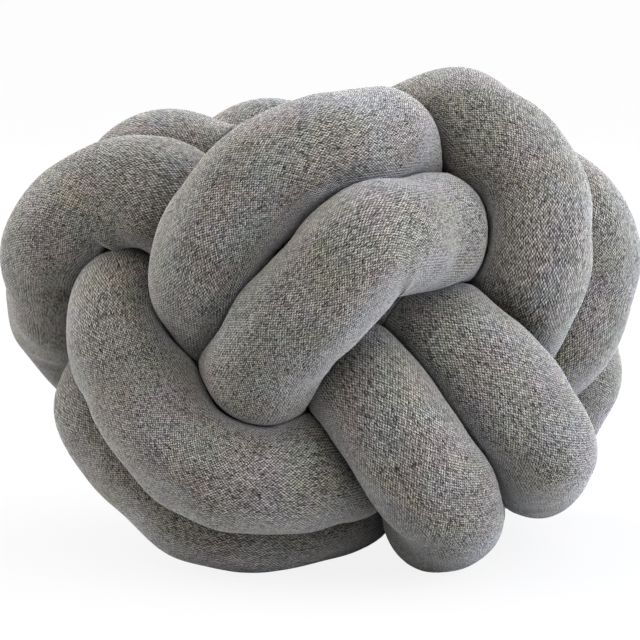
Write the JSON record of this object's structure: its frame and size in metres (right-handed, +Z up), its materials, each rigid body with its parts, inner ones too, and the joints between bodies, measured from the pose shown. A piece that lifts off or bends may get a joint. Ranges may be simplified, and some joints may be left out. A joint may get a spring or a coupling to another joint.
{
  "type": "knot cushion",
  "caption": "Ball-shaped knot cushion tied from one long stuffed tube of grey knitted jersey, with both ends tucked inside.",
  "frame": {"origin": "middle of the cushion's box, on the surface it rests on", "axes": "+Z up, +X to the right seen from the front, the front faces -Y"},
  "size_m": [0.3008, 0.2704, 0.2286],
  "materials": {
    "grey_jersey": "soft matt weft-knitted jersey in mottled warm grey, slightly fuzzy"
  },
  "bodies": {
    "root": {"knot_tube": "grey_jersey"}
  },
  "joints": []
}
